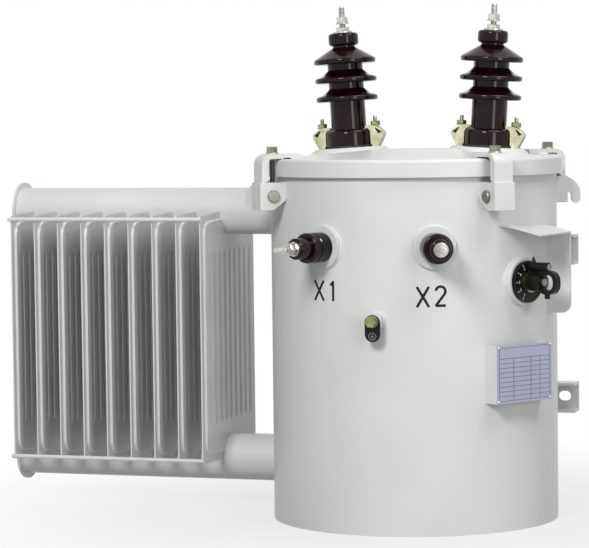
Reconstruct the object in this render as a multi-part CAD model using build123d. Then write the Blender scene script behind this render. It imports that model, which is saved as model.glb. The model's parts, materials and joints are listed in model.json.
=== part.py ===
"""Pole-mounted distribution transformer: a round steel tank with a clamped lid, two high-voltage
bushings on the lid, two low-voltage bushings on the front wall, a tap changer under a rain hood,
hanger channels across the back and a bank of pressed radiator panels on the left.
The frame stands on the tank's base, on its axis. The front is -Y, the radiator is at -X."""

import math
import os

from build123d import *

# A height named DROP is counted down from the tank's rim.

# clearances and overruns
SEAT = 0.2
OVERRUN = 20.0

# tank
TANK_R = 265.0
TANK_H = 660.0
WALL = 4.0
BOTTOM_T = 6.0
GASKET_T = 6.0
GASKET_W = 10.0

# lid, a pressed pan whose skirt hangs over the wall
LID_T = 4.0
LID_OVERHANG = 11.0
SKIRT_H = 28.0
LID_SHOULDER = 6.0
LID_FLAT_W = 30.0
LID_RISE = 14.0
LID_CROWN_R = 70.0

# high-voltage bushings, leaning out from the lid's middle
HV_X = 133.0
HV_Y = 40.0
HV_RISE = 20.0
HV_LEAN = 3.2
HV_PAD_R = 66.0
HV_PAD_FLARE = 18.0
HV_PAD_H = 16.0
HV_GASKET_R = 45.0
HV_GASKET_T = 4.0
HV_FOOT_R = 43.0
HV_FOOT_H = 31.0
HV_FOOT_ROUND = 9.0
HV_CORE_R = 33.0
HV_SHED_R = 58.0
HV_SHED_Z = 88.0
HV_SHED_PITCH = 35.0
HV_SHED_COUNT = 3
HV_SHED_LIP = 9.5
HV_SHED_RISE = 15.0
HV_TOP_RISE = 27.0
HV_LIP_ROUND = 4.2
HV_SHED_BROW = 11.0
HV_NECK_R = 21.0
HV_CAP_R = 28.0
HV_CAP_Z = 188.0
HV_CAP_H = 24.0
HV_CAP_ROUND = 6.0
HV_CUP_R = 18.0
HV_CUP_H = 10.0
HV_NUT_AF = 19.0
HV_NUT_H = 15.0
HV_NUT_GAP = 5.0
HV_STUD_R = 6.0
HV_STUD_H = 49.0

# clamps that hold each bushing's foot down
CLAMP_W = 22.0
CLAMP_T = 3.0
CLAMP_TOE_R = 34.0
CLAMP_TOE_T = 6.0
CLAMP_CLEAR = 5.0
CLAMP_HEEL_W = 9.0
CLAMP_BULGE = 11.0
CLAMP_BULGE_Z = 20.0
CLAMP_CREST = 5.0
CLAMP_ROUND = 7.0

# low-voltage bushings, square to the wall
LV_ANGLE = 22.6
LV_DROP = 146.0
LV_SEAT_R = 38.0
LV_SEAT_OUT = 8.0
LV_BODY_R = 27.0
LV_BODY_L = 44.0
LV_GROOVE_R = 23.0
LV_GROOVE_W = 5.0
LV_GROOVE_AT_SHARE = 0.55
LV_NOSE_R = 19.0
LV_NOSE_L = 30.0
LV_EASE = 4.0
LV_NUT_R = 11.5
LV_NUT_L = 26.0
LV_STUD_R = 5.0
LV_STUD_L = 54.0

# lid clamps, each a claw over the lid's edge standing on a welded bracket
CLAW_ANGLES = (-50.0, 45.5, 130.5, -134.5)
CLAW_W = 38.0
CLAW_LEG_T = 14.0
CLAW_ARM_T = 7.0
CLAW_GAP = 21.0
CLAW_TOE_IN = 31.0
CLAW_TOE_W = 18.0
CLAW_LIFT = 2.5
CLAW_BEND = 20.0
CLAW_HEEL = 9.0
BRACKET_W = 42.0
BRACKET_T = 5.0
BRACKET_OUT = 50.0
BRACKET_DROP = 32.0
BRACKET_H = 50.0
BRACKET_FOOT = 26.0
BRACKET_CUT_H = 20.0
BRACKET_PIN_R = 8.0

# lifting hooks, opposite each other under the lid
HOOK_ANGLES = (110.0, -70.0)
HOOK_T = 10.0
HOOK_DROP = 30.0
HOOK_H = 50.0
HOOK_OUT = 47.0
HOOK_ROOT_W = 12.0
HOOK_ROOT_H = 46.0
HOOK_THROAT_W = 18.0
HOOK_THROAT_H = 22.0

# earth terminal
EARTH_DROP = 275.0
EARTH_R = 15.0
EARTH_OUT = 24.0
TAG_W = 28.0
TAG_H = 48.0
TAG_T = 2.0
TAG_BELOW = 12.0

# tap changer and its rain hood
TAP_ANGLE = 61.0
TAP_DROP = 212.0
TAP_COLLAR_R = 42.0
TAP_COLLAR_OUT = 11.0
TAP_DIAL_R = 37.5
TAP_DIAL_T = 9.0
TAP_RING_R = 19.0
TAP_RING_T = 5.0
TAP_HUB_R = 16.0
TAP_HUB_L = 26.0
TAP_LOOP_OUT = 44.0
TAP_LOOP_H = 42.0
TAP_LOOP_BAR = 7.5
TAP_LOOP_T = 13.0
TAP_LOOP_CORNER = 18.0
TAP_LOCK_R = 8.5
TAP_LOCK_L = 40.0
TAP_LOCK_UP = 27.0
HOOD_ANGLE = 79.2
HOOD_W = 142.0
HOOD_SIDE = 9.0
HOOD_OUT = 46.0
HOOD_DROP = 114.0
HOOD_FALL = 12.0
HOOD_T = 2.5
HOOD_SIDE_H = 160.0
HOOD_CORNER = 18.0

# nameplate on its folded box
PLATE_ANGLE = 58.0
PLATE_DROP = 374.0
PLATE_W = 138.0
PLATE_H = 104.0
PLATE_T = 1.5
BOX_T = 2.0
BOX_OUT = 20.0

# hanger channels across the back
HANGER_W = 510.0
HANGER_H = 57.0
HANGER_T = 5.0
HANGER_DEPTH = 44.0
HANGER_GAP = 8.0
HANGER_DROP = 175.25
HANGER_SPACING = 285.75
SLOT_EDGE = 27.0
SLOT_L = 24.0
SLOT_R = 9.5

# radiator, panels threaded on two header pipes
PANEL_COUNT = 9
PANEL_PITCH = 47.5
PANEL_CLEAR = 115.0
PANEL_Y = 38.0
PANEL_W = 314.0
PANEL_TAPER = 4.0
PANEL_FLAT = 120.0
PANEL_CORNER = 4.0
PANEL_PRESS_CORNER = 30.0
PANEL_RIM = 11.0
SHEET_T = 1.2
PANEL_SWELL = 5.0
PANEL_SLOPE = 4.0
VALLEY_COUNT = 9
VALLEY_PITCH = 29.0
VALLEY_MARGIN = 71.0
VALLEY_W = 13.0
VALLEY_FLOOR_W = 5.0
VALLEY_DEPTH = 3.8
VALLEY_END = 9.0
PIPE_R = 44.5
PIPE_T = 3.5
PIPE_LOW_Z = 95.0
PIPE_DROP = 93.0
PIPE_TAIL = 36.0
CAP_R = 55.0
CAP_T = 5.0
TIE_R = 4.0
TIE_INSET = 2.0
TIE_OVERHANG = 4.0


def save(shape, node):
    export_step(shape, "parts/" + node + ".step")


def around(angle, radius, height):
    """Where local +X points out from the tank at an angle counted from the front."""
    return Rot(0, 0, angle - 90) * Pos(radius, 0, height)


def profile(points, corners=(), radius=0.0):
    """A flat outline in (radius, height), with the named corners rounded."""
    face = make_face(Polyline(*points, close=True))
    if corners:
        face = fillet([face.vertices().sort_by_distance(corner)[0] for corner in corners], radius)
    return face


def turned(face):
    """A solid of revolution from an outline in (radius, height)."""
    return revolve(Plane.XZ * face, Axis.Z)


def outward(solid):
    """Lays a solid turned about Z along local +X."""
    return Rot(0, 90, 0) * solid


def slab(face, thickness):
    """A plate cut to an outline in (radius, height), centred on its thickness."""
    return extrude(Plane.XZ * face, thickness / 2, both=True)


def beyond_wall(solid):
    """What lies outside the tank's wall, a seat away from it."""
    return solid - Cylinder(TANK_R + SEAT, TANK_H * 2)


def tank():
    bore = TANK_R - WALL
    wall = Cylinder(TANK_R, TANK_H, align=(Align.CENTER, Align.CENTER, Align.MIN))
    wall -= Cylinder(bore, TANK_H, align=(Align.CENTER, Align.CENTER, Align.MIN))
    save(wall, "tank_wall")
    bottom = Cylinder(bore - SEAT, BOTTOM_T, align=(Align.CENTER, Align.CENTER, Align.MIN))
    save(bottom, "tank_bottom")
    gasket = Pos(0, 0, TANK_H) * Cylinder(TANK_R, GASKET_T, align=(Align.CENTER, Align.CENTER, Align.MIN))
    gasket -= Pos(0, 0, TANK_H) * Cylinder(TANK_R - GASKET_W, GASKET_T * 2)
    save(gasket, "lid_gasket")


def lid_top():
    return TANK_H + GASKET_T + LID_T


def lid_r():
    return TANK_R + LID_OVERHANG


def hv_place(side):
    """The foot of a high-voltage bushing: side is -1 on the left and 1 on the right."""
    return Pos(side * HV_X, HV_Y, lid_top() + HV_RISE) * Rot(0, side * HV_LEAN, 0)


def lid():
    under = lid_top() - LID_T
    flat_r = TANK_R - LID_FLAT_W
    points = [
        (lid_r(), under - SKIRT_H),
        (lid_r(), lid_top()),
        (flat_r, lid_top()),
        (LID_CROWN_R, lid_top() + LID_RISE),
        (0, lid_top() + LID_RISE),
        (0, under + LID_RISE),
        (LID_CROWN_R, under + LID_RISE),
        (flat_r, under),
        (lid_r() - LID_T, under),
        (lid_r() - LID_T, under - SKIRT_H),
    ]
    section = profile(points, [(lid_r(), lid_top())], LID_SHOULDER)
    section = fillet(section.vertices().sort_by_distance((lid_r() - LID_T, under))[0], LID_SHOULDER - LID_T)
    pan = turned(section)
    for side in (-1, 1):
        pad = Cone(HV_PAD_R + HV_PAD_FLARE, HV_PAD_R, HV_PAD_H, align=(Align.CENTER, Align.CENTER, Align.MAX))
        pan += hv_place(side) * Pos(0, 0, -HV_GASKET_T) * pad
    save(pan, "lid")


def hv_porcelain():
    """A foot, a core with rain sheds that fall to a thin rounded lip, a short neck and a cap."""
    cap_top = HV_CAP_Z + HV_CAP_H
    foot = (HV_FOOT_R, HV_FOOT_H)
    points = [(0, 0), (HV_FOOT_R, 0), foot, (HV_CORE_R, HV_FOOT_H)]
    lips = []
    roots = []
    for i in range(HV_SHED_COUNT):
        top = i == HV_SHED_COUNT - 1
        low = HV_SHED_Z + i * HV_SHED_PITCH - HV_SHED_LIP / 2
        high = low + HV_SHED_LIP
        brow = HV_CORE_R + HV_SHED_BROW
        lips += [(HV_SHED_R, low), (HV_SHED_R, high)]
        points += [(HV_CORE_R, low + HV_SHED_LIP / 4), *lips[-2:]]
        if top:
            points.append((HV_NECK_R, high + HV_TOP_RISE - HV_SHED_LIP / 2))
        else:
            roots.append((brow, high + HV_SHED_RISE / 3))
            points += [roots[-1], (HV_CORE_R, high + HV_SHED_RISE)]
    rim = [(HV_CAP_R, HV_CAP_Z), (HV_CAP_R, cap_top)]
    points += [(HV_NECK_R, HV_CAP_Z), *rim, (0, cap_top)]
    section = profile(points, lips, HV_LIP_ROUND)
    section = fillet(section.vertices().sort_by_distance(foot)[0], HV_FOOT_ROUND)
    for corner in roots + rim:
        section = fillet(section.vertices().sort_by_distance(corner)[0], HV_CAP_ROUND)
    return turned(section)


def hv_terminal():
    base = Cylinder(HV_CUP_R, HV_CUP_H, align=(Align.CENTER, Align.CENTER, Align.MIN))
    stud = Cylinder(HV_STUD_R, HV_STUD_H, align=(Align.CENTER, Align.CENTER, Align.MIN))
    nut = extrude(RegularPolygon(HV_NUT_AF / 2, 6, major_radius=False), HV_NUT_H)
    return Pos(0, 0, HV_CAP_Z + HV_CAP_H) * (base + stud + Pos(0, 0, HV_CUP_H + HV_NUT_GAP) * nut)


def hv_clamp():
    """A pressed clamp like a beak: its toe bears on the foot's shoulder, its heel on the lid's pad,
    and its two sides hang from a web that arches over."""
    under = HV_FOOT_H + SEAT
    heel_in = HV_GASKET_R + CLAMP_CLEAR
    heel_out = heel_in + CLAMP_HEEL_W
    heel = -HV_GASKET_T + SEAT
    bulge = (heel_out + CLAMP_BULGE, CLAMP_BULGE_Z)
    crest = (HV_FOOT_R + CLAMP_CREST, under + CLAMP_TOE_T)
    sides = [
        (CLAMP_TOE_R, under),
        (HV_FOOT_R + SEAT, under),
        (heel_in, CLAMP_BULGE_Z),
        (heel_in, heel),
        (heel_out, heel),
        bulge,
        crest,
        (CLAMP_TOE_R, under + CLAMP_TOE_T),
    ]
    body = slab(profile(sides, [bulge, crest], CLAMP_ROUND), CLAMP_W)
    hollow = [
        (heel_in - CLAMP_CLEAR, under),
        (heel_in - CLAMP_CLEAR, heel - OVERRUN),
        (heel_out - CLAMP_T, heel - OVERRUN),
        (heel_out - CLAMP_T, heel),
        (bulge[0] - CLAMP_T * 2, CLAMP_BULGE_Z),
        (crest[0], under),
    ]
    return body - slab(profile(hollow), CLAMP_W - CLAMP_T * 2)


def hv_bushings():
    clamps = []
    gaskets = []
    for number, side in ((1, -1), (2, 1)):
        place = hv_place(side)
        save(place * hv_porcelain(), f"hv_bushing_{number}")
        save(place * hv_terminal(), f"hv_terminal_{number}")
        ring = Cylinder(HV_GASKET_R, HV_GASKET_T, align=(Align.CENTER, Align.CENTER, Align.MAX))
        gaskets.append(place * ring)
        for turn in (0, 180):
            clamps.append(place * Rot(0, 0, turn) * hv_clamp())
    save(Compound(children=gaskets), "hv_gaskets")
    save(Compound(children=clamps), "hv_clamps")


def lv_bushings():
    seats = []
    for number, angle in ((1, -LV_ANGLE), (2, LV_ANGLE)):
        face = around(angle, TANK_R + LV_SEAT_OUT, TANK_H - LV_DROP)
        depth = LV_SEAT_OUT + TANK_R - math.sqrt(TANK_R**2 - LV_SEAT_R**2) + WALL
        seat = outward(Cylinder(LV_SEAT_R, depth, align=(Align.CENTER, Align.CENTER, Align.MAX)))
        seats.append(beyond_wall(face * seat))
        groove = LV_BODY_L * LV_GROOVE_AT_SHARE
        shoulder = (LV_BODY_R, LV_BODY_L)
        nose = (LV_NOSE_R, LV_BODY_L + LV_NOSE_L)
        points = [
            (0, 0),
            (LV_BODY_R, 0),
            (LV_BODY_R, groove),
            (LV_GROOVE_R, groove + LV_GROOVE_W / 2),
            (LV_BODY_R, groove + LV_GROOVE_W),
            shoulder,
            (LV_NOSE_R, LV_BODY_L),
            nose,
            (0, LV_BODY_L + LV_NOSE_L),
        ]
        body = turned(profile(points, [shoulder, nose], LV_EASE))
        save(face * outward(body), f"lv_bushing_{number}")
        nut = Cylinder(LV_NUT_R, LV_NUT_L, align=(Align.CENTER, Align.CENTER, Align.MIN))
        stud = Cylinder(LV_STUD_R, LV_STUD_L, align=(Align.CENTER, Align.CENTER, Align.MIN))
        tip = outward(Pos(0, 0, LV_BODY_L + LV_NOSE_L) * (nut + stud))
        save(face * tip, f"lv_terminal_{number}")
    save(Compound(children=seats), "lv_seats")


def bracket_top():
    return TANK_H - BRACKET_DROP


def claw():
    """The claw's toe bears on the lid's flat rim, and its leg stands on the bracket."""
    arm_low = lid_top() + CLAW_LIFT
    inner = lid_r() + CLAW_GAP
    outer = inner + CLAW_LEG_T
    toe = TANK_R - CLAW_TOE_IN
    bend = (outer, arm_low + CLAW_ARM_T)
    heel = (inner, bracket_top())
    points = [
        (toe, lid_top() + SEAT),
        (toe + CLAW_TOE_W, lid_top() + SEAT),
        (toe + CLAW_TOE_W + CLAW_LIFT, arm_low),
        (inner, arm_low),
        heel,
        (outer, bracket_top()),
        bend,
        (toe, arm_low + CLAW_ARM_T),
    ]
    section = profile(points, [bend], CLAW_BEND)
    for corner in ((inner, arm_low), heel):
        section = fillet(section.vertices().sort_by_distance(corner)[0], CLAW_HEEL)
    return slab(section, CLAW_W)


def lug():
    """A U-shaped bracket welded to the wall, its cheeks cut back at the foot, with a cross pin."""
    low = bracket_top() - BRACKET_H
    outer = TANK_R + BRACKET_OUT
    inner = TANK_R - WALL
    points = [
        (inner, low + BRACKET_CUT_H),
        (outer - BRACKET_FOOT, low),
        (outer, low),
        (outer, bracket_top()),
        (inner, bracket_top()),
    ]
    body = slab(profile(points), BRACKET_W)
    hollow = Pos(TANK_R, 0, low + BRACKET_H / 2) * Box(
        (BRACKET_OUT - BRACKET_T) * 2, BRACKET_W - BRACKET_T * 2, BRACKET_H * 2
    )
    body -= hollow
    pin_at = Pos(TANK_R + BRACKET_OUT / 2, 0, low + BRACKET_H / 2)
    body += pin_at * Rot(90, 0, 0) * Cylinder(BRACKET_PIN_R, BRACKET_W)
    return body


def lid_clamps():
    lugs = []
    for number, angle in enumerate(CLAW_ANGLES, 1):
        save(around(angle, 0, 0) * claw(), f"lid_claw_{number}")
        lugs.append(beyond_wall(around(angle, 0, 0) * lug()))
    save(Compound(children=lugs), "claw_brackets")


def hook():
    """A flat hook whose throat opens downwards, in the radius-height plane."""
    top = TANK_H - HOOK_DROP
    low = top - HOOK_H
    outer = TANK_R + HOOK_OUT
    root = TANK_R + HOOK_ROOT_W
    throat = root + HOOK_THROAT_W
    throat_top = low + HOOK_THROAT_H
    prong = (outer + throat) / 2
    outline = [
        Line((TANK_R - WALL, top), (root, top)),
        ThreePointArc(
            (root, top),
            (root + HOOK_THROAT_W * math.sqrt(2), top - HOOK_THROAT_H / 2),
            (outer, throat_top),
        ),
        Line((outer, throat_top), (outer, low + (outer - throat) / 2)),
        ThreePointArc(
            (outer, low + (outer - throat) / 2), (prong, low), (throat, low + (outer - throat) / 2)
        ),
        Line((throat, low + (outer - throat) / 2), (throat, throat_top - HOOK_THROAT_W / 2)),
        ThreePointArc(
            (throat, throat_top - HOOK_THROAT_W / 2),
            (root + HOOK_THROAT_W / 2, throat_top),
            (root, throat_top - HOOK_THROAT_W / 2),
        ),
        Line((root, throat_top - HOOK_THROAT_W / 2), (root, top - HOOK_ROOT_H)),
        Line((root, top - HOOK_ROOT_H), (TANK_R - WALL, top - HOOK_ROOT_H)),
        Line((TANK_R - WALL, top - HOOK_ROOT_H), (TANK_R - WALL, top)),
    ]
    return extrude(Plane.XZ * make_face(outline), HOOK_T / 2, both=True)


def lifting_hooks():
    for number, angle in enumerate(HOOK_ANGLES, 1):
        save(beyond_wall(around(angle, 0, 0) * hook()), f"lifting_hook_{number}")


def earth_terminal():
    face = around(0, TANK_R + EARTH_OUT, TANK_H - EARTH_DROP)
    boss = outward(Cylinder(EARTH_R, EARTH_OUT + WALL, align=(Align.CENTER, Align.CENTER, Align.MAX)))
    save(beyond_wall(face * boss), "earth_boss")
    tag = extrude(Plane.YZ * Pos(0, -TAG_BELOW) * SlotOverall(TAG_H, TAG_W, rotation=90), TAG_T)
    save(face * tag, "earth_tag")


def tap_loop():
    """The D-shaped pull ring, in the plane of the spindle and the vertical."""
    ring = Plane.XZ * RectangleRounded(TAP_LOOP_OUT, TAP_LOOP_H, TAP_LOOP_CORNER)
    gap = Plane.XZ * RectangleRounded(
        TAP_LOOP_OUT - TAP_LOOP_BAR * 2, TAP_LOOP_H - TAP_LOOP_BAR * 2, TAP_LOOP_CORNER - TAP_LOOP_BAR
    )
    return extrude(ring - gap, TAP_LOOP_T / 2, both=True)


def tap_changer():
    face = around(TAP_ANGLE, TANK_R + TAP_COLLAR_OUT, TANK_H - TAP_DROP)
    depth = TAP_COLLAR_OUT + TANK_R - math.sqrt(TANK_R**2 - TAP_COLLAR_R**2) + WALL
    collar = outward(Cylinder(TAP_COLLAR_R, depth, align=(Align.CENTER, Align.CENTER, Align.MAX)))
    save(beyond_wall(face * collar), "tap_collar")
    dial = outward(Cylinder(TAP_DIAL_R, TAP_DIAL_T, align=(Align.CENTER, Align.CENTER, Align.MIN)))
    save(face * dial, "tap_dial")
    ring = Cylinder(TAP_RING_R, TAP_RING_T, align=(Align.CENTER, Align.CENTER, Align.MIN))
    save(face * Pos(TAP_DIAL_T, 0, 0) * outward(ring), "tap_ring")
    seat = TAP_DIAL_T + TAP_RING_T
    hub = outward(Cylinder(TAP_HUB_R, TAP_HUB_L, align=(Align.CENTER, Align.CENTER, Align.MIN)))
    lock = outward(Cylinder(TAP_LOCK_R, TAP_LOCK_L, align=(Align.CENTER, Align.CENTER, Align.MIN)))
    web = Pos(TAP_HUB_L / 2, 0, TAP_LOCK_UP / 2) * Box(TAP_HUB_L, TAP_LOCK_R, TAP_LOCK_UP)
    loop = Pos(TAP_HUB_L + TAP_LOOP_OUT / 2 - TAP_LOOP_BAR, 0, 0) * tap_loop()
    handle = hub + web + Pos(0, 0, TAP_LOCK_UP) * lock + loop
    save(face * Pos(seat, 0, 0) * handle, "tap_handle")


def tap_hood():
    """A bent sheet: a roof that falls outwards and one side, both welded to the wall."""
    outer = TANK_R + HOOD_OUT
    inner = TANK_R - HOOD_W / 2
    middle = HOOD_SIDE - HOOD_W / 2
    ridge = TANK_H - HOOD_DROP
    roof = [
        (inner, ridge + HOOD_FALL),
        (TANK_R, ridge),
        (outer, ridge - HOOD_FALL),
        (outer, ridge - HOOD_FALL - HOOD_T),
        (TANK_R, ridge - HOOD_T),
        (inner, ridge + HOOD_FALL - HOOD_T),
    ]
    sheet = Pos(0, middle, 0) * slab(profile(roof), HOOD_W)
    corner = (outer, ridge - HOOD_SIDE_H)
    side = [*reversed(roof[3:]), corner, (inner, ridge - HOOD_SIDE_H)]
    plate = slab(profile(side, [corner], HOOD_CORNER), HOOD_T)
    sheet += Pos(0, HOOD_SIDE - HOOD_T / 2, 0) * plate
    save(beyond_wall(around(HOOD_ANGLE, 0, 0) * sheet), "tap_hood")


def nameplate():
    face = around(PLATE_ANGLE, TANK_R + BOX_OUT, TANK_H - PLATE_DROP)
    front = Box(BOX_T, PLATE_W, PLATE_H, align=(Align.MAX, Align.CENTER, Align.CENTER))
    depth = BOX_OUT + PLATE_W / 4
    for side in (-1, 1):
        flange = Box(depth, BOX_T, PLATE_H, align=(Align.MAX, Align.CENTER, Align.CENTER))
        front += Pos(0, side * (PLATE_W / 2 - BOX_T / 2), 0) * flange
    save(beyond_wall(face * front), "nameplate_box")
    plate = Box(PLATE_T, PLATE_W, PLATE_H, align=(Align.MIN, Align.CENTER, Align.CENTER))
    save(face * plate, "nameplate")


def hangers():
    back = TANK_R + HANGER_GAP + HANGER_T
    upper = TANK_H - HANGER_DROP
    inwards = (Align.CENTER, Align.MAX, Align.CENTER)
    for name, height in (("lower", upper - HANGER_SPACING), ("upper", upper)):
        channel = Box(HANGER_W, HANGER_DEPTH, HANGER_H, align=inwards)
        trough = Box(HANGER_W * 2, HANGER_DEPTH, HANGER_H - HANGER_T * 2, align=inwards)
        channel -= Pos(0, -HANGER_T, 0) * trough
        for side in (-1, 1):
            slot = extrude(Plane.XZ * SlotOverall(SLOT_L, SLOT_R * 2), OVERRUN, both=True)
            channel -= Pos(side * (HANGER_W / 2 - SLOT_EDGE), 0, 0) * slot
        save(beyond_wall(Pos(0, back, height) * channel), f"hanger_{name}")


def pipe_spacing():
    return TANK_H - PIPE_DROP - PIPE_LOW_Z


def panel_outline(inset, corner):
    half_w = PANEL_W / 2 - inset
    half_h = pipe_spacing() / 2 - inset
    side_h = half_h - PANEL_TAPER
    flat = PANEL_FLAT / 2
    points = [
        (-half_w, -side_h),
        (-flat, -half_h),
        (flat, -half_h),
        (half_w, -side_h),
        (half_w, side_h),
        (flat, half_h),
        (-flat, half_h),
        (-half_w, side_h),
    ]
    outline = make_face(Polyline(*points, close=True))
    corners = outline.vertices().filter_by(lambda v: abs(v.X) > (flat + half_w) / 2)
    return fillet(corners, corner)


def valley(half_l, half_w, point):
    return make_face(
        Polyline(
            (-half_w, -half_l + point),
            (0, -half_l),
            (half_w, -half_l + point),
            (half_w, half_l - point),
            (0, half_l),
            (-half_w, half_l - point),
            close=True,
        )
    )


def panel():
    """Two pressed sheets welded at their rim, swollen between with vertical channels for the oil."""
    rim = extrude(Plane.YZ * panel_outline(0, PANEL_CORNER), SHEET_T, both=True)
    brow = panel_outline(PANEL_RIM + PANEL_SLOPE, PANEL_PRESS_CORNER - PANEL_SLOPE)
    swell = loft(
        [
            Plane.YZ * panel_outline(PANEL_RIM, PANEL_PRESS_CORNER),
            Pos(PANEL_SWELL, 0, 0) * (Plane.YZ * brow),
        ],
        ruled=True,
    )
    floor = PANEL_SWELL - VALLEY_DEPTH
    half_l = pipe_spacing() / 2 - VALLEY_MARGIN
    first = -(VALLEY_COUNT - 1) / 2 * VALLEY_PITCH
    for i in range(VALLEY_COUNT):
        across = first + i * VALLEY_PITCH
        bed = Plane.YZ * valley(half_l - VALLEY_END / 2, VALLEY_FLOOR_W / 2, VALLEY_END)
        brim = Plane.YZ * valley(half_l, VALLEY_W / 2, VALLEY_END)
        press = loft([Pos(floor, across, 0) * bed, Pos(PANEL_SWELL, across, 0) * brim], ruled=True)
        swell -= press
    body = rim + swell + mirror(swell, Plane.YZ)
    inside = extrude(Plane.YZ * brow, PANEL_SWELL - SHEET_T, both=True)
    for i in range(VALLEY_COUNT):
        seam = Plane.YZ * Pos(first + i * VALLEY_PITCH, 0) * valley(half_l, VALLEY_W / 2, VALLEY_END)
        inside -= extrude(seam, PANEL_SWELL, both=True)
    body -= inside
    for side in (-1, 1):
        body -= Pos(0, 0, side * pipe_spacing() / 2) * Rot(0, 90, 0) * Cylinder(PIPE_R + SEAT, OVERRUN)
    return body


def radiator():
    middle = PIPE_LOW_Z + pipe_spacing() / 2
    first_x = -TANK_R - PANEL_CLEAR
    one = panel()
    for i in range(PANEL_COUNT):
        save(Pos(first_x - i * PANEL_PITCH, PANEL_Y, middle) * one, f"radiator_panel_{i + 1}")
    end = first_x - (PANEL_COUNT - 1) * PANEL_PITCH - PIPE_TAIL
    caps = []
    for name, height in (("lower", PIPE_LOW_Z), ("upper", PIPE_LOW_Z + pipe_spacing())):
        lay = Pos(end, PANEL_Y, height) * Rot(0, 90, 0)
        pipe = lay * Cylinder(PIPE_R, -end, align=(Align.CENTER, Align.CENTER, Align.MIN))
        pipe -= lay * Cylinder(PIPE_R - PIPE_T, -end, align=(Align.CENTER, Align.CENTER, Align.MIN))
        save(beyond_wall(pipe), f"header_{name}")
        caps.append(lay * Cylinder(CAP_R, CAP_T, align=(Align.CENTER, Align.CENTER, Align.MAX)))
    save(Compound(children=caps), "header_caps")
    bars = []
    length = (PANEL_COUNT - 1) * PANEL_PITCH + TIE_OVERHANG * 2
    for side in (-1, 1):
        for up in (-1, 1):
            height = middle + up * (pipe_spacing() / 2 - PANEL_TAPER - PANEL_CORNER - TIE_INSET)
            out = PANEL_Y + side * (PANEL_W / 2 + TIE_R)
            bar = Rot(0, 90, 0) * Cylinder(TIE_R, length)
            bars.append(Pos(first_x - length / 2 + TIE_OVERHANG, out, height) * bar)
    save(Compound(children=bars), "tie_bars")


os.makedirs("parts", exist_ok=True)
tank()
lid()
hv_bushings()
lv_bushings()
lid_clamps()
lifting_hooks()
earth_terminal()
tap_changer()
tap_hood()
nameplate()
hangers()
radiator()
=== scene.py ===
import json
import math

import bmesh
import bpy
from mathutils import Matrix, Vector


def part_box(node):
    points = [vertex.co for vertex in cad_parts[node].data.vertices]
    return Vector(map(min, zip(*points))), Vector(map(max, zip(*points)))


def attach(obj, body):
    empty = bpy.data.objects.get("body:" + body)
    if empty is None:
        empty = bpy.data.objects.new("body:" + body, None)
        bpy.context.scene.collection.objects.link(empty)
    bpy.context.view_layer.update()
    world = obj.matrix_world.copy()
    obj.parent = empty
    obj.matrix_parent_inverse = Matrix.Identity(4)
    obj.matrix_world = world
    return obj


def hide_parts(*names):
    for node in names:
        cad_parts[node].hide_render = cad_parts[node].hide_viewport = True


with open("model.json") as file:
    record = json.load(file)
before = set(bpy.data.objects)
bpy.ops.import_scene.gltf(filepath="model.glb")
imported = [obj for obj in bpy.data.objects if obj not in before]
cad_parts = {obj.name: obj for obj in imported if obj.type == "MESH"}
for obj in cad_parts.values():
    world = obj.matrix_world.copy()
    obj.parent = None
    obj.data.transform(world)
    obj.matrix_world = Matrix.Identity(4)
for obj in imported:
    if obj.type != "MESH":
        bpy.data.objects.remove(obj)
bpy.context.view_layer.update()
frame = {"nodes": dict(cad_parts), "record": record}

# Tank: a cylinder rolled from 4 mm sheet steel, welded along its seam and to its base plate.
# The whole tank is sprayed with a pale grey alkyd enamel, which everything welded to it shares.
MM = 0.001
PATCH_DETAIL = 4.0
PATCH_SPAN = (0.3, 0.7)
GRAIN_DETAIL = 2.0


def linear(code):
    """An sRGB hex colour as linear red, green, blue and alpha."""
    parts = [int(code[i : i + 2], 16) / 255 for i in (1, 3, 5)]
    return [c / 12.92 if c <= 0.04045 else ((c + 0.055) / 1.055) ** 2.4 for c in parts] + [1.0]


def add(tree, kind, settings=(), links=()):
    """Adds a node: settings by attribute or by input name, links as (input name, output socket)."""
    node = tree.nodes.new(kind)
    for name, value in dict(settings).items():
        if name in node.inputs:
            node.inputs[name].default_value = value
        else:
            setattr(node, name, value)
    for name, source in dict(links).items():
        tree.links.new(source, node.inputs[name])
    return node


def finish(name, colours, patch_mm, grain_mm, grain_depth_mm, **shader):
    """A surface with patches of two near colours, and a grain that stands up by a stated depth."""
    material = bpy.data.materials.new(name)
    material.use_nodes = True
    tree = material.node_tree
    tree.nodes.clear()
    place = {"Vector": add(tree, "ShaderNodeTexCoord").outputs["Object"]}
    cloud = {"Scale": 1 / (patch_mm * MM), "Detail": PATCH_DETAIL}
    patches = add(tree, "ShaderNodeTexNoise", cloud, place)
    ramp = add(tree, "ShaderNodeValToRGB", (), {"Fac": patches.outputs["Fac"]})
    for stop, position, colour in zip(ramp.color_ramp.elements, PATCH_SPAN, colours):
        stop.position = position
        stop.color = linear(colour)
    speck = {"Scale": 1 / (grain_mm * MM), "Detail": GRAIN_DETAIL}
    grain = add(tree, "ShaderNodeTexNoise", speck, place)
    relief = {"Strength": 1.0, "Distance": grain_depth_mm * MM}
    bump = add(tree, "ShaderNodeBump", relief, {"Height": grain.outputs["Fac"]})
    links = {"Base Color": ramp.outputs["Color"], "Normal": bump.outputs["Normal"]}
    surface = add(tree, "ShaderNodeBsdfPrincipled", shader, links)
    add(tree, "ShaderNodeOutputMaterial", (), {"Surface": surface.outputs["BSDF"]})
    return material


def dress(material, *nodes):
    """Gives CAD nodes their material."""
    for name in nodes:
        mesh = frame["nodes"][name].data
        mesh.materials.clear()
        mesh.materials.append(material)


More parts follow.
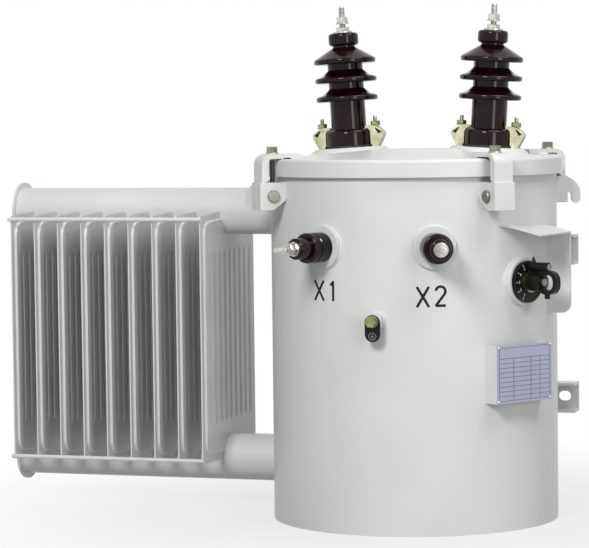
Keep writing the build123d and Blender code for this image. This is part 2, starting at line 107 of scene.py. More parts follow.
# Sprayed enamel dries to a satin skin with a faint orange peel, drawn at 5 mm so that it shows.
# The specular level, here and below, holds the gloss down: the white room fills every mirror.
enamel = finish(
    "alkyd_enamel_pale_grey",
    ("#d4d7d5", "#dadcda"),
    patch_mm=140,
    grain_mm=5,
    grain_depth_mm=0.03,
    Roughness=0.36,
    IOR=1.5,
    **{"Specular IOR Level": 0.25},
)
dress(enamel, "tank_wall", "tank_bottom")

# Lid: a pan pressed from sheet, sprayed with the tank, on a ring of nitrile rubber cord.
# Each bushing stands on a raised pad, on a cut rubber gasket of its own.
dress(enamel, "lid")
# Cut rubber is a dull black that hardly shines. Its skin is drawn at 2 mm so that it shows.
rubber = finish(
    "nitrile_rubber",
    ("#1c1b1b", "#262424"),
    patch_mm=20,
    grain_mm=2,
    grain_depth_mm=0.05,
    Roughness=0.75,
    IOR=1.52,
)
dress(rubber, "lid_gasket", "hv_gaskets")

# High-voltage bushings: turned electrical porcelain, dipped in a brown glaze and fired.
# Each leans out a little and stands on its gasket, held down by the clamps at its foot.
# The glaze is glassy and pools unevenly: a nearly black brown that wanders, with slow ripples.
glaze = finish(
    "brown_glazed_porcelain",
    ("#120406", "#1e090c"),
    patch_mm=30,
    grain_mm=24,
    grain_depth_mm=0.12,
    Roughness=0.08,
    IOR=1.47,
    **{"Specular IOR Level": 0.24},
)
dress(glaze, "hv_bushing_1", "hv_bushing_2")

# High-voltage terminals: tinned brass studs with a base nut, a washer, a top nut and bare thread.
# They are turned and dipped, and screw into the cap of each bushing.
# Dipped tin is a bright, slightly cloudy silver. Its grain is drawn at 1.5 mm so that it shows.
tinned = finish(
    "tinned_brass",
    ("#b2b1ac", "#c9c8c3"),
    patch_mm=9,
    grain_mm=1.5,
    grain_depth_mm=0.006,
    Metallic=1.0,
    Roughness=0.26,
)
ROUND_SIDES = 32
EDGE_ROUND = 0.4 * MM
CHAMFER_SHARE = 0.6
COARSE_PITCH = 1.75 * MM
RIDGE_SHARE = 0.45
THREAD_SIDES = 24
SHARP_ANGLE = 35


def lathe(mesh, place, points, sides=ROUND_SIDES):
    """Turns (radius, height) points about the local Z of a place; six sides make a hexagon."""
    rings = []
    for radius, height in points:
        turn = [2 * math.pi * i / sides for i in range(sides)]
        ring = [place @ Vector((radius * math.cos(t), radius * math.sin(t), height)) for t in turn]
        rings.append([mesh.verts.new(corner) for corner in ring])
    for low, high in zip(rings, rings[1:]):
        for i in range(sides):
            j = (i + 1) % sides
            mesh.faces.new((low[i], low[j], high[j], high[i]))
    mesh.faces.new(rings[0][::-1])
    mesh.faces.new(rings[-1])


def disc(mesh, place, radius, low, high, edge=EDGE_ROUND):
    """A washer or plain round, with its edges eased."""
    inner = radius - edge
    lathe(mesh, place, [(inner, low), (radius, low + edge), (radius, high - edge), (inner, high)])


def hexagon(mesh, place, across, low, high):
    """A nut or bolt head, chamfered at both ends as a turned nut is."""
    corner = across / math.sqrt(3)
    chamfer = (corner - across / 2) * CHAMFER_SHARE
    points = [(corner - chamfer, low), (corner, low + chamfer), (corner, high - chamfer)]
    lathe(mesh, place, points + [(corner - chamfer, high)], sides=6)


def thread(mesh, place, radius, low, high, pitch=COARSE_PITCH):
    """A screwed rod: one ridge a pitch, drawn as rings."""
    depth = pitch * RIDGE_SHARE
    points = []
    for i in range(int((high - low) / pitch)):
        base = low + i * pitch
        points += [(radius - depth, base), (radius, base + pitch / 2)]
    lathe(mesh, place, points + [(radius - depth, high)], sides=THREAD_SIDES)


def piece(name, mesh, material, smooth_under=SHARP_ANGLE):
    """Makes a mesh into a piece of the object, smooth except at edges sharper than the angle."""
    bmesh.ops.recalc_face_normals(mesh, faces=mesh.faces)
    data = bpy.data.meshes.new(name)
    mesh.to_mesh(data)
    mesh.free()
    data.shade_smooth()
    data.set_sharp_from_angle(angle=math.radians(smooth_under))
    data.materials.append(material)
    made = bpy.data.objects.new(name, data)
    bpy.context.scene.collection.objects.link(made)
    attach(made, "root")
    return made


# From the cap up: the shape, its radius or width across flats, and its two ends, in mm.
HV_STACK = (
    (disc, 18, 0, 3),  # base washer
    (hexagon, 22, 3, 11),  # base nut
    (disc, 12.5, 17, 19.5),  # top washer
    (hexagon, 19, 19.5, 30),  # top nut
    (thread, 6, 9, 47.5),  # stud
    (disc, 5.2, 47, 49),  # the stud's plain end
)
HV_CAP_TOP = 212 * MM
HV_STUD_MIDDLE = 251.5 * MM
mounts = {mount["name"]: mount for mount in frame["record"]["mounts"]}
hv_feet = {}
for number in (1, 2):
    mount = mounts[f"hv_stud_{number}"]
    axis = Vector(mount["axis"]).normalized()
    lean = Matrix.Rotation(math.atan2(axis.x, axis.z), 4, "Y")
    hv_feet[number] = Matrix.Translation(Vector(mount["pos_m"]) - axis * HV_STUD_MIDDLE) @ lean
    cap = hv_feet[number] @ Matrix.Translation((0, 0, HV_CAP_TOP))
    terminal = bmesh.new()
    for shape, size, low, high in HV_STACK:
        shape(terminal, cap, size * MM, low * MM, high * MM)
    made = piece(f"hv_terminal_{number}_turned", terminal, tinned)
    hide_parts(f"hv_terminal_{number}")

# Foot clamps: pressed steel, two to a bushing, each a web with two cheeks, plated with yellow zinc.
# A stud from the lid comes up through each web, with a plain washer and a nut on it.
# Yellow zinc is a pale straw metal with drifts of olive. Its grain is drawn at 1.5 mm to show.
zinc = finish(
    "yellow_passivated_zinc",
    ("#a3a37c", "#d4d0ba"),
    patch_mm=12,
    grain_mm=1.5,
    grain_depth_mm=0.02,
    Metallic=0.85,
    Roughness=0.34,
)


def cut_plate(mesh, place, outline, near, far):
    """A plate cut to an outline of (out, up) points in mm, from near to far across the place."""
    sides = []
    for across in (near, far):
        corners = [place @ (Vector((out, across, up)) * MM) for out, up in outline]
        sides.append([mesh.verts.new(corner) for corner in corners])
    mesh.faces.new(sides[0])
    mesh.faces.new(sides[1][::-1])
    for i in range(len(outline)):
        j = (i + 1) % len(outline)
        mesh.faces.new((sides[0][i], sides[1][i], sides[1][j], sides[0][j]))


# Outlines in mm, out from the bushing's axis and up from its base. The web runs from toe to heel.
WEB = [(33.8, 34.8), (41, 36.2), (47, 35.8), (56.5, 33.6), (66.5, 25.5)]
WEB += [(69, 22.2), (69.4, 19), (68.2, 16), (58, -4)]
WEB += [(55.3, -4), (65.3, 16.8), (66.4, 19.2), (66.2, 21), (64.6, 23.4)]
WEB += [(55.4, 30.8), (46.6, 33), (41, 33.4), (33.8, 32.2)]
# A cheek follows the rounded shoulder of the foot, goes down to the lid and comes up the leg.
SHOULDER_OUT = 34
SHOULDER_UP = 22
SHOULDER_R = 9.6
CHEEK = []
for degrees in range(90, -1, -15):
    t = math.radians(degrees)
    CHEEK.append((SHOULDER_OUT + SHOULDER_R * math.cos(t), SHOULDER_UP + SHOULDER_R * math.sin(t)))
CHEEK += [(43.8, 1), (46, 0.6), (46, -4), (56.5, -4), (66.4, 16.6), (67.4, 19.2), (67.2, 21)]
# The front cheek is slit at the bend, where the sheet was folded. The rear one is whole.
SLIT_BEND = [(65.2, 21.4), (59.6, 19.2), (53.6, 28.6), (54, 32)]
WHOLE_BEND = [(65.6, 24.4), (56, 32.2)]
CREST = [(46.8, 34.2), (41, 34.6), (34, 33.4)]
CLAMP_HALF_W = 11
CLAMP_T = 2.5
CHEEK_SET_IN = 0.1
CHEEK_OUTSIDE = CLAMP_HALF_W - CHEEK_SET_IN
CHEEK_INSIDE = CLAMP_HALF_W - CLAMP_T
clamps = bmesh.new()
for foot in hv_feet.values():
    for turn, front in ((0, -1), (math.pi, 1)):
        side = foot @ Matrix.Rotation(turn, 4, "Z")
        cut_plate(clamps, side, WEB, -CLAMP_HALF_W, CLAMP_HALF_W)
        for way, bend in ((front, SLIT_BEND), (-front, WHOLE_BEND)):
            outline = CHEEK + bend + CREST
            cut_plate(clamps, side, outline, way * CHEEK_INSIDE, way * CHEEK_OUTSIDE)
made = piece("hv_clamps_pressed", clamps, zinc)
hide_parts("hv_clamps")
# A thicker chromate film on the nuts turns the same zinc a darker olive. Its grain is drawn as
# coarse as the clamps' is.
olive_zinc = finish(
    "olive_passivated_zinc",
    ("#7b7d50", "#a09f74"),
    patch_mm=8,
    grain_mm=1.5,
    grain_depth_mm=0.02,
    Metallic=0.85,
    Roughness=0.36,
)
CLAMP_TOP = 34.8 * MM
CLAMP_STUD_OUT = 52 * MM
CLAMP_STUD_R = 4 * MM
CLAMP_STUD_TOP = 18 * MM
CLAMP_STUD_PITCH = 1.25 * MM
CLAMP_WASHER_R = 10 * MM
CLAMP_WASHER_T = 1.6 * MM
CLAMP_NUT_W = 16 * MM
CLAMP_NUT_TOP = 9 * MM
clamp_nuts = bmesh.new()
clamp_studs = bmesh.new()
for foot in hv_feet.values():
    for side in (-1, 1):
        web = foot @ Matrix.Translation((side * CLAMP_STUD_OUT, 0, CLAMP_TOP))
        disc(clamp_nuts, web, CLAMP_WASHER_R, 0, CLAMP_WASHER_T)
        hexagon(clamp_nuts, web, CLAMP_NUT_W, CLAMP_WASHER_T, CLAMP_NUT_TOP)
        thread(clamp_studs, web, CLAMP_STUD_R, 0, CLAMP_STUD_TOP, CLAMP_STUD_PITCH)
piece("hv_clamp_nuts", clamp_nuts, olive_zinc)
piece("hv_clamp_studs", clamp_studs, tinned)

# Low-voltage bushings: the same glazed porcelain, square to the wall on seats welded all round.
# Each ends in two tinned nuts on a screwed stud.
dress(enamel, "lv_seats")
dress(glaze, "lv_bushing_1", "lv_bushing_2")
TANK_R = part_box("tank_wall")[1].x
EDGE_EASE = 1 * MM
EDGE_SEGMENTS = 3
EDGE_ANGLE = 50
SAME_POINT = 0.01 * MM
BEAD_R = 2.2 * MM
BEAD_DIP = 0.8
BEAD_SMOOTH = 80
RING_STEPS = 96


def ease(*nodes, width=EDGE_EASE):
    """Breaks the sharp edges of plate nodes, as paint and a file leave them."""
    for name in nodes:
        node = frame["nodes"][name]
        join = node.modifiers.new("join", "WELD")
        join.merge_threshold = SAME_POINT
        edge = node.modifiers.new("edge", "BEVEL")
        edge.width = width
        edge.segments = EDGE_SEGMENTS
        edge.limit_method = "ANGLE"
        edge.angle_limit = math.radians(EDGE_ANGLE)
        edge.harden_normals = True


def on_wall(angle, reach, height):
    """A place on the tank's wall: local Z out, local Y up, at an angle from the front."""
    turn = math.radians(angle)
    out = Vector((math.sin(turn), -math.cos(turn), 0))
    side = Vector((0, 0, 1)).cross(out)
    place = Matrix((side, (0, 0, 1), out)).transposed().to_4x4()
    place.translation = out * reach + Vector((0, 0, height))
    return place


def weld(name, runs, radius=BEAD_R):
    """Beads of weld along runs of points, thinner at every other point, as a ripple."""
    curve = bpy.data.curves.new(name, "CURVE")
    curve.dimensions = "3D"
    curve.bevel_depth = radius
    curve.bevel_resolution = 1
    for points in runs:
        spline = curve.splines.new("POLY")
        spline.points.add(len(points) - 1)
        for i, (point, corner) in enumerate(zip(spline.points, points)):
            point.co = (*corner, 1)
            point.radius = 1.0 if i % 2 else BEAD_DIP
    holder = bpy.data.objects.new(name, curve)
    data = bpy.data.meshes.new_from_object(holder)
    bpy.data.objects.remove(holder)
    bead = bmesh.new()
    bead.from_mesh(data)
    return piece(name, bead, enamel, smooth_under=BEAD_SMOOTH)


def ring_run(angle, height, radius):
    """A closed run of points on the wall, round a boss that stands square to it."""
    points = []
    for i in range(RING_STEPS + 1):
        turn = 2 * math.pi * i / RING_STEPS
        aside = math.degrees(math.asin(radius * math.cos(turn) / TANK_R))
        spot = on_wall(angle + aside, TANK_R, height + radius * math.sin(turn))
        points.append(spot.translation)
    return points


def along(point, axis):
    """A place whose local Z runs along an axis."""
    return Matrix.Translation(point) @ Vector(axis).to_track_quat("Z", "Y").to_matrix().to_4x4()


LV_ANGLE = 22.6
LV_Z = 514 * MM
LV_SEAT_R = 38 * MM
LV_SEAT_EASE = 4 * MM
LV_SEAT_BEAD = 3.5 * MM
ease("lv_seats", width=LV_SEAT_EASE)
rings = [ring_run(side * LV_ANGLE, LV_Z, LV_SEAT_R) for side in (-1, 1)]
weld("lv_seat_welds", rings, radius=LV_SEAT_BEAD)
# From the nose out, as in the high-voltage stack.
LV_STACK = (
    (disc, 13, 0, 2.5),  # base washer
    (hexagon, 20, 2.5, 13),  # base nut
    (disc, 11, 13, 15.5),  # top washer
    (hexagon, 17, 15.5, 25),  # top nut
)
LV_NOSE_BACK = 40 * MM
LV_STUD_R = 5 * MM
LV_STUD_LOW = 2 * MM
LV_STUD_HIGH = 53 * MM
LV_STUD_PITCH = 1.5 * MM
LV_END_R = 4.3 * MM
LV_END_LOW = 51 * MM
LV_END_HIGH = 54 * MM
LV_END_ROUND = 1.4 * MM
for number in (1, 2):
    mount = mounts[f"lv_stud_{number}"]
    axis = Vector(mount["axis"]).normalized()
    nose = along(Vector(mount["pos_m"]) - axis * LV_NOSE_BACK, axis)
    terminal = bmesh.new()
    for shape, size, low, high in LV_STACK:
        shape(terminal, nose, size * MM, low * MM, high * MM)
    thread(terminal, nose, LV_STUD_R, LV_STUD_LOW, LV_STUD_HIGH, LV_STUD_PITCH)
    disc(terminal, nose, LV_END_R, LV_END_LOW, LV_END_HIGH, LV_END_ROUND)
    made = piece(f"lv_terminal_{number}_turned", terminal, tinned)
    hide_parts(f"lv_terminal_{number}")

# Terminal marks: the usual X1 and X2 of the low-voltage side, brushed on through a thin stencil.
# They are black paint, a few tenths of a millimetre thick, that follows the round wall.
# Brushed paint dries to a flat black with faint brush marks, drawn at 3 mm so that they show.
stencil_black = finish(
    "stencil_paint_black",
    ("#0e0e0e", "#161615"),
    patch_mm=25,
    grain_mm=3,
    grain_depth_mm=0.03,
    Roughness=0.55,
    IOR=1.5,
    **{"Specular IOR Level": 0.2},
)
PAINT_T = 0.3 * MM
STROKE_STEPS = 12


def painted_stroke(mesh, points, width, angle, height):
    """A painted line on the round wall, through (across, up) points."""
    edges = []
    for i, (across, up) in enumerate(points):
        ahead = Vector(points[min(i + 1, len(points) - 1)]) - Vector(points[max(i - 1, 0)])
        normal = Vector((-ahead.y, ahead.x)).normalized() * width / 2
        pair = []
        for way in (-1, 1):
            turn = angle + math.degrees((across + way * normal.x) / TANK_R)
            place = on_wall(turn, TANK_R + PAINT_T, height + up + way * normal.y)
            pair.append(mesh.verts.new(place.translation))
        edges.append(pair)
    for back, front in zip(edges, edges[1:]):
        mesh.faces.new((back[0], back[1], front[1], front[0]))


def run(start, end):
    """Even points from start to end."""
    steps = range(STROKE_STEPS + 1)
    return [Vector(start).lerp(Vector(end), i / STROKE_STEPS) for i in steps]


MARK_H = 36 * MM
MARK_W = 21.5 * MM
MARK_GAP = 10 * MM
MARK_LINE = 4.6 * MM
half_w = MARK_W / 2
half_h = MARK_H / 2
letter = [run((-half_w, -half_h), (half_w, half_h)), run((-half_w, half_h), (half_w, -half_h))]
FLAG_SHARE = 0.55
flag_top = (0, half_h - MARK_LINE / 2)
flag_end = (-half_w * FLAG_SHARE, half_h * FLAG_SHARE)
one = [run((0, -half_h), (0, half_h)), run(flag_top, flag_end)]
BOW_SHARE = 0.8
BOW_FROM = 170
BOW_SWEEP = 200
BOW_STEPS = 24
TAIL_SHARE = 0.85
bow_r = half_w * BOW_SHARE
bow_up = half_h - bow_r
tail_up = -half_h + MARK_LINE / 2
bow = [math.radians(BOW_FROM - BOW_SWEEP * i / BOW_STEPS) for i in range(BOW_STEPS + 1)]
two = [[Vector((bow_r * math.cos(t), bow_up + bow_r * math.sin(t))) for t in bow]]
two += [run(two[0][-1], (-bow_r, tail_up))]
two += [run((-half_w * TAIL_SHARE, tail_up), (half_w * TAIL_SHARE, tail_up))]
MARK_PLACES = ((one, -21.6, 436 * MM), (two, 21.5, 427 * MM))
aside = (MARK_W + MARK_GAP) / 2
marks = bmesh.new()
for digit, angle, height in MARK_PLACES:
    for strokes, across in ((letter, -aside), (digit, aside)):
        for stroke in strokes:
            moved = [point + Vector((across, 0)) for point in stroke]
            painted_stroke(marks, moved, MARK_LINE, angle, height)
piece("terminal_marks", marks, stencil_black)

# Lid clamps: bent claws and U brackets of thick sheet, sprayed with the tank.
# A zinc-plated bolt and washer pull each claw down, and a pin with a flat head crosses the bracket.
# The brackets are welded to the wall along both sides.
CLAW_ANGLES = (-50, 45.5, 130.5, -134.5)
claws = [f"lid_claw_{i + 1}" for i in range(len(CLAW_ANGLES))]
dress(enamel, *claws, "claw_brackets")
ease(*claws, "claw_brackets")
# Clear-passivated zinc is a dull grey metal. Its grain is drawn at 1.5 mm so that it shows.
bright_zinc = finish(
    "clear_passivated_zinc",
    ("#75756e", "#8c8b82"),
    patch_mm=10,
    grain_mm=1.5,
    grain_depth_mm=0.02,
    Metallic=1.0,
    Roughness=0.38,
)
CLAW_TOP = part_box("lid_claw_1")[1].z
CLAW_BOLT_OUT = 283 * MM
CLAW_WASHER_R = 12 * MM
CLAW_WASHER_T = 2.5 * MM
CLAW_HEAD_W = 18 * MM
CLAW_HEAD_TOP = 13 * MM
CLAW_SHANK_R = 5 * MM
CLAW_SHANK_TOP = -10 * MM
BRACKET_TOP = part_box("claw_brackets")[1].z
BRACKET_HALF_W = 21 * MM
BRACKET_WELD_L = 30 * MM
PIN_OUT = 290 * MM
PIN_DROP = 25 * MM
PIN_HEAD_R = 11 * MM
PIN_HEAD_T = 6 * MM
PIN_HEAD_ROUND = 1.5 * MM
bolts = bmesh.new()
washers = bmesh.new()
pins = bmesh.new()
for angle in CLAW_ANGLES:
    upright = Matrix.Translation(on_wall(angle, CLAW_BOLT_OUT, CLAW_TOP).translation)
    disc(washers, upright, CLAW_WASHER_R, 0, CLAW_WASHER_T)
    hexagon(bolts, upright, CLAW_HEAD_W, CLAW_WASHER_T, CLAW_HEAD_TOP)
    thread(bolts, upright, CLAW_SHANK_R, BRACKET_TOP - CLAW_TOP, CLAW_SHANK_TOP)
    middle = on_wall(angle, PIN_OUT, BRACKET_TOP - PIN_DROP)
    for side in (-1, 1):
        cheek = middle @ Matrix.Rotation(side * math.pi / 2, 4, "Y")
        cheek = cheek @ Matrix.Translation((0, 0, BRACKET_HALF_W))
        disc(pins, cheek, PIN_HEAD_R, 0, PIN_HEAD_T, PIN_HEAD_ROUND)
piece("claw_bolts", bolts, bright_zinc)
piece("claw_washers", washers, zinc)
piece("bracket_pin_heads", pins, bright_zinc)
BEAD_RIPPLE = 5 * MM


def upright_run(angle, across, low, high):
    """A run of points up the wall, a little to one side of an angle."""
    turn = angle + math.degrees(across / TANK_R)
    count = max(2, int((high - low) / (BEAD_RIPPLE / 2)))
    heights = [low + (high - low) * i / count for i in range(count + 1)]
    return [on_wall(turn, TANK_R, height).translation for height in heights]


low = BRACKET_TOP - BRACKET_WELD_L
runs = []
for angle in CLAW_ANGLES:
    for side in (-1, 1):
        runs.append(upright_run(angle, side * BRACKET_HALF_W, low, BRACKET_TOP))
weld("bracket_welds", runs)

# Lifting hooks: flame-cut plate, sprayed with the tank, one on each side below the lid.
# Each stands upright on the wall, with a run of weld up both of its faces.
dress(enamel, "lifting_hook_1", "lifting_hook_2")
ease("lifting_hook_1", "lifting_hook_2")
HOOK_ANGLES = (110, -70)
HOOK_HALF_T = 5 * MM
HOOK_FREE_END = 12 * MM
HOOK_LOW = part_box("lifting_hook_1")[0].z + HOOK_FREE_END
HOOK_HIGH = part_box("lifting_hook_1")[1].z
runs = []
for angle in HOOK_ANGLES:
    for side in (-1, 1):
        runs.append(upright_run(angle, side * HOOK_HALF_T, HOOK_LOW, HOOK_HIGH))
weld("hook_welds", runs)

# Earth terminal: a steel boss welded to the wall, with a plated bolt and washer.
# The bolt holds a black moulded tag that carries the usual earth sign.
# Moulded nylon is a deep black with a soft sheen, its fine texture drawn at 2 mm so that it shows.
black_plastic = finish(
    "moulded_nylon_black",
    ("#0d0d0e", "#161617"),
    patch_mm=18,
    grain_mm=2,
    grain_depth_mm=0.03,
    Roughness=0.34,
    IOR=1.53,
    **{"Specular IOR Level": 0.16},
)
dress(enamel, "earth_boss")
dress(black_plastic, "earth_tag")
TAG_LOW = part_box("earth_tag")[0].z
TAG_FACE = -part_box("earth_tag")[0].y
EARTH_Z = 385 * MM
EARTH_R = 15 * MM
EARTH_BEAD = 3 * MM
EARTH_WASHER_R = 10.8 * MM
EARTH_WASHER_T = 2 * MM
EARTH_HEAD_W = 18 * MM
EARTH_HEAD_TOP = 14 * MM
weld("earth_weld", [ring_run(0, EARTH_Z, EARTH_R)], radius=EARTH_BEAD)
boss = on_wall(0, TAG_FACE, EARTH_Z)
earth_bolt = bmesh.new()
disc(earth_bolt, boss, EARTH_WASHER_R, 0, EARTH_WASHER_T)
hexagon(earth_bolt, boss, EARTH_HEAD_W, EARTH_WASHER_T, EARTH_HEAD_TOP)
piece("earth_bolt", earth_bolt, olive_zinc)


def bar(mesh, place, across, up, width, height):
    """A thin rectangle, as thick as paint, standing on the local XY plane of a place."""
    spot = place @ Matrix.Translation((across, up, PAINT_T / 2))
    size = Matrix.Diagonal((width, height, PAINT_T, 1))
    bmesh.ops.create_cube(mesh, size=1, matrix=spot @ size)


SIGN_UP = 10 * MM
SIGN_LINE = 0.8 * MM
SIGN_STEP = 2 * MM
SIGN_W = 7 * MM
SIGN_BARS = 3
SIGN_R = 6.5 * MM
SIGN_SIDES = 48
SIGN_LAP = 1.05
tag = on_wall(0, TAG_FACE, TAG_LOW + SIGN_UP)
sign = bmesh.new()
bar(sign, tag, 0, SIGN_STEP, SIGN_LINE, SIGN_STEP * 2)
for step in range(SIGN_BARS):
    bar(sign, tag, 0, -step * SIGN_STEP, SIGN_W * (1 - step / SIGN_BARS), SIGN_LINE)
side_l = 2 * math.pi * SIGN_R / SIGN_SIDES * SIGN_LAP
for i in range(SIGN_SIDES):
    spin = tag @ Matrix.Rotation(2 * math.pi * i / SIGN_SIDES, 4, "Z")
    bar(sign, spin, 0, SIGN_R, side_l, SIGN_LINE)
# The sign stands up from the tag and is rubbed with grey: flat, with grain drawn at 2 mm to show.
sign_grey = finish(
    "moulded_sign_grey",
    ("#8c8d87", "#9a9b95"),
    patch_mm=6,
    grain_mm=2,
    grain_depth_mm=0.02,
    Roughness=0.5,
    IOR=1.5,
)
piece("earth_sign", sign, sign_grey)

# Tap changer: a moulded dial on a welded collar, a brass ring, and a handle with a pull ring.
# Its positions are printed on the dial in white, and a plated screw locks the handle.
dress(enamel, "tap_collar")
dress(black_plastic, "tap_dial", "tap_handle")
# Turned brass is a warm, dull gold. Its fine tool marks are drawn at 1.2 mm so that they show.
brass = finish(
    "turned_brass",
    ("#8a7d5c", "#9c8f6c"),
    patch_mm=8,
    grain_mm=1.2,
    grain_depth_mm=0.02,
    Metallic=1.0,
    Roughness=0.3,
)
dress(brass, "tap_ring")
TAP_ANGLE = 61
TAP_Z = 448 * MM
COLLAR_R = 42 * MM
COLLAR_EASE = 2 * MM
COLLAR_BEAD = 3 * MM
ease("tap_collar", width=COLLAR_EASE)
weld("tap_collar_weld", [ring_run(TAP_ANGLE, TAP_Z, COLLAR_R)], radius=COLLAR_BEAD)
HUB_END = TANK_R + 51 * MM
HUB_NUT_W = 13 * MM
HUB_NUT_T = 6 * MM
LOCK_END = TANK_R + 65 * MM
LOCK_UP = 27 * MM
LOCK_HEAD_R = 6 * MM
LOCK_HEAD_T = 3 * MM
screws = bmesh.new()
hexagon(screws, on_wall(TAP_ANGLE, HUB_END, TAP_Z), HUB_NUT_W, 0, HUB_NUT_T)
disc(screws, on_wall(TAP_ANGLE, LOCK_END, TAP_Z + LOCK_UP), LOCK_HEAD_R, 0, LOCK_HEAD_T)
piece("tap_screws", screws, bright_zinc)
# A pointer stands on the lock's barrel, and a stub hangs from the pull ring.
POINTER = [(5 * MM, 0), (4 * MM, 3 * MM), (0.6 * MM, 11 * MM)]
POINTER_OUT = TANK_R + 30 * MM
POINTER_UP = LOCK_UP + 8 * MM
STUB = [(5 * MM, 0), (5 * MM, 8 * MM), (4 * MM, 9 * MM)]
STUB_OUT = TANK_R + 62 * MM
STUB_UP = -20 * MM
KNOB_SIDES = 16
upward = Matrix.Identity(4)
downward = Matrix.Rotation(math.pi, 4, "X")
knobs = bmesh.new()
for outline, reach, up, way in (
    (POINTER, POINTER_OUT, POINTER_UP, upward),
    (STUB, STUB_OUT, STUB_UP, downward),
):
    spot = Matrix.Translation(on_wall(TAP_ANGLE, reach, TAP_Z + up).translation)
    lathe(knobs, spot @ way, outline, sides=KNOB_SIDES)
piece("tap_pointer", knobs, black_plastic)
# Printing ink dries to a flat, chalky white. Its grain is drawn at 2 mm so that it shows.
print_white = finish(
    "printed_white",
    ("#d6d6d2", "#e2e2de"),
    patch_mm=6,
    grain_mm=2,
    grain_depth_mm=0.02,
    Roughness=0.5,
    IOR=1.5,
)
DIAL_FACE = TANK_R + 20 * MM
DIAL_FROM = 240
DIAL_STEP = 30
POSITIONS = 5
TICK_R = 33.5 * MM
TICK_L = 4 * MM
TICK_W = 1.2 * MM
NUMBER_R = 27 * MM
NUMBER_H = 7 * MM
dial = on_wall(TAP_ANGLE, DIAL_FACE, TAP_Z)
printing = bmesh.new()
for position in range(POSITIONS):
    turn = math.radians(DIAL_FROM - position * DIAL_STEP)
    spot = Matrix.Translation((TICK_R * math.cos(turn), TICK_R * math.sin(turn), 0))
    bar(printing, dial @ spot @ Matrix.Rotation(turn, 4, "Z"), 0, 0, TICK_L, TICK_W)
    words = bpy.data.curves.new("dial_number", "FONT")
    words.body = str(position + 1)
    words.size = NUMBER_H
    words.align_x = "CENTER"
    words.align_y = "CENTER"
    words.extrude = PAINT_T / 2
    holder = bpy.data.objects.new("dial_number", words)
    number = bpy.data.meshes.new_from_object(holder)
    bpy.data.objects.remove(holder)
    spot = (NUMBER_R * math.cos(turn), NUMBER_R * math.sin(turn), PAINT_T / 2)
    number.transform(dial @ Matrix.Translation(spot))
    printing.from_mesh(number)
piece("dial_printing", printing, print_white)

# Rain hood: one bent sheet over the tap changer, sprayed with the tank.
# It is welded to the wall by a run up its side plate, below the bend.
dress(enamel, "tap_hood")
HOOD_SIDE_ANGLE = 81
HOOD_WELD_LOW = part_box("tap_hood")[0].z + 2 * MM
HOOD_WELD_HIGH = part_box("tap_hood")[1].z - 26 * MM
weld("hood_weld", [upright_run(HOOD_SIDE_ANGLE, 0, HOOD_WELD_LOW, HOOD_WELD_HIGH)])

# Nameplate: an etched aluminium plate with a rivet at each corner, on a box of bent sheet.
# It is ruled for its rows and left blank.
dress(enamel, "nameplate_box")
# Etched and dyed aluminium is a pale lilac grey with a satin sheen. Its etch is drawn at 1.5 mm
# so that it shows.
plate_metal = finish(
    "etched_aluminium",
    ("#a4a7bb", "#adb0c3"),
    patch_mm=60,
    grain_mm=1.5,
    grain_depth_mm=0.01,
    Metallic=0.35,
    Roughness=0.4,
)
dress(plate_metal, "nameplate")
PLATE_ANGLE = 58
PLATE_Z = (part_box("nameplate")[0].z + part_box("nameplate")[1].z) / 2
PLATE_W = 138 * MM
PLATE_H = 104 * MM
PLATE_FACE = TANK_R + 21.5 * MM
PLATE_EDGE = 5 * MM
RULE = 0.7 * MM
ROWS = 9
HEADING_SHARE = 0.2
COLUMNS = (-0.22, 0.12, 0.3)
plate = on_wall(PLATE_ANGLE, PLATE_FACE, PLATE_Z)
wide = PLATE_W - 2 * PLATE_EDGE
tall = PLATE_H - 2 * PLATE_EDGE
grid_top = tall / 2 - tall * HEADING_SHARE
grid_h = grid_top + tall / 2
rules = bmesh.new()
for side in (-1, 1):
    bar(rules, plate, side * wide / 2, 0, RULE, tall)
    bar(rules, plate, 0, side * tall / 2, wide, RULE)
for row in range(ROWS):
    bar(rules, plate, 0, grid_top - row * grid_h / ROWS, wide, RULE)
for share in COLUMNS:
    bar(rules, plate, share * wide, grid_top - grid_h / 2, RULE, grid_h)
# The rules are etched and filled with ink: a flat, dark blue grey, its grain drawn at 2 mm to show.
ruling = finish(
    "etched_ruling",
    ("#4d4f5c", "#5b5d6a"),
    patch_mm=10,
    grain_mm=2,
    grain_depth_mm=0.02,
    Roughness=0.6,
)
piece("nameplate_ruling", rules, ruling)
RIVET_DOME = [(3.2 * MM, 0), (2.9 * MM, 0.9 * MM), (1.8 * MM, 1.6 * MM), (0.4 * MM, 1.9 * MM)]
RIVET_SIDES = 16
RIVET_IN = 4 * MM
rivet_x = PLATE_W / 2 - RIVET_IN
rivet_y = PLATE_H / 2 - RIVET_IN
rivets = bmesh.new()
for side in (-1, 1):
    for way in (-1, 1):
        corner = plate @ Matrix.Translation((side * rivet_x, way * rivet_y, 0))
        lathe(rivets, corner, RIVET_DOME, sides=RIVET_SIDES)
piece("nameplate_rivets", rivets, tinned)

# Hangers: two channels of folded plate, sprayed with the tank.
# They are welded across the back, and their ends are slotted for the pole's bolts.
dress(enamel, "hanger_upper", "hanger_lower")

